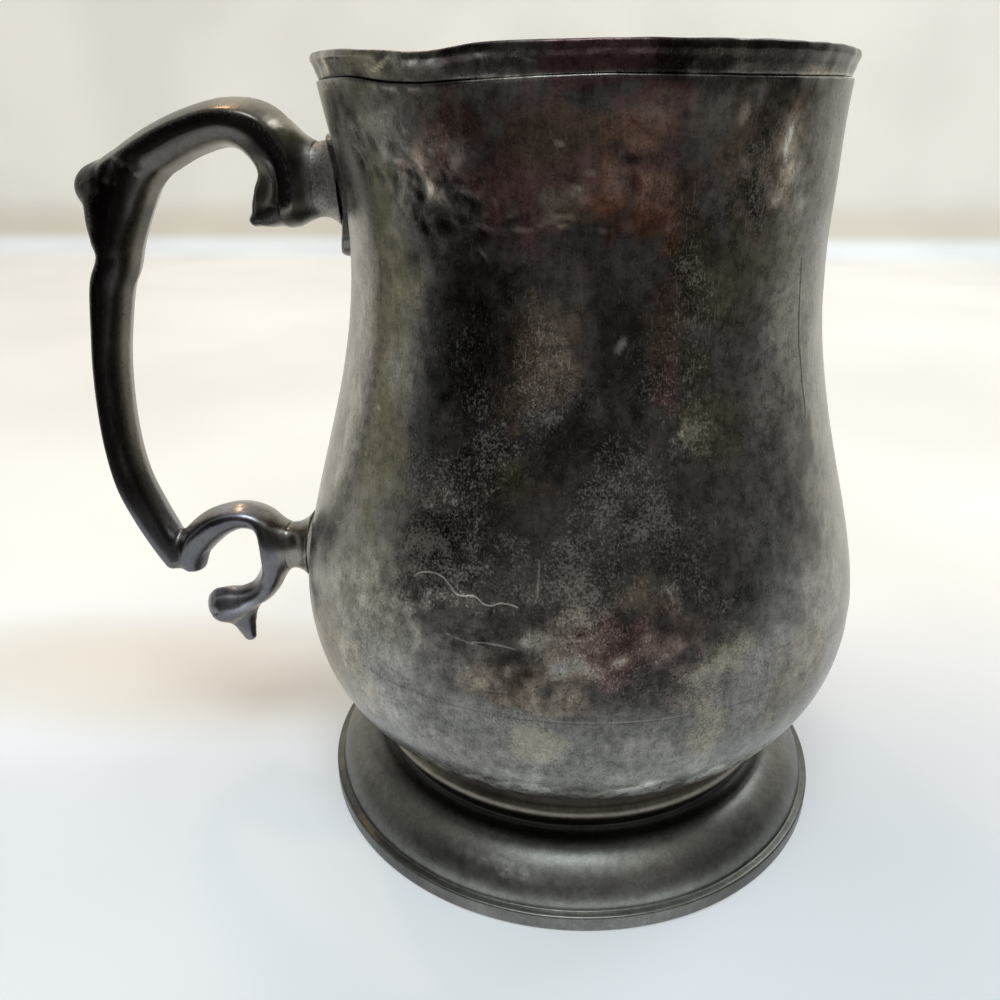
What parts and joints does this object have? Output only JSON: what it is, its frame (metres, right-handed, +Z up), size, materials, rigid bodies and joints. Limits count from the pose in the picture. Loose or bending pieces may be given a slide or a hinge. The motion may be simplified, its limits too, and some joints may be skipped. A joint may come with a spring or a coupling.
{
  "type": "mug",
  "caption": "Bellied pewter mug with a flared mouth, lip band, moulded foot and double scroll handle.",
  "frame": {"origin": "under the middle of the mug's bounding box, on the surface that the foot stands on", "axes": "+Z up; the handle points to -X; +Y is across the handle's plane, away from the picture's viewer"},
  "size_m": [0.1348, 0.0968, 0.127],
  "materials": {
    "body_pewter": "satin",
    "lip_pewter": "satin",
    "foot_pewter": "satin",
    "handle_pewter": "satin"
  },
  "bodies": {
    "root": {"lip_band": "lip_pewter", "upper_body": "body_pewter", "lower_body": "body_pewter", "bottom_disc": "body_pewter", "foot_ring": "foot_pewter", "scroll_handle": "handle_pewter", "upper_strut": "handle_pewter", "upper_tongue": "handle_pewter", "lower_strut": "handle_pewter", "lower_pad": "handle_pewter"}
  },
  "joints": []
}
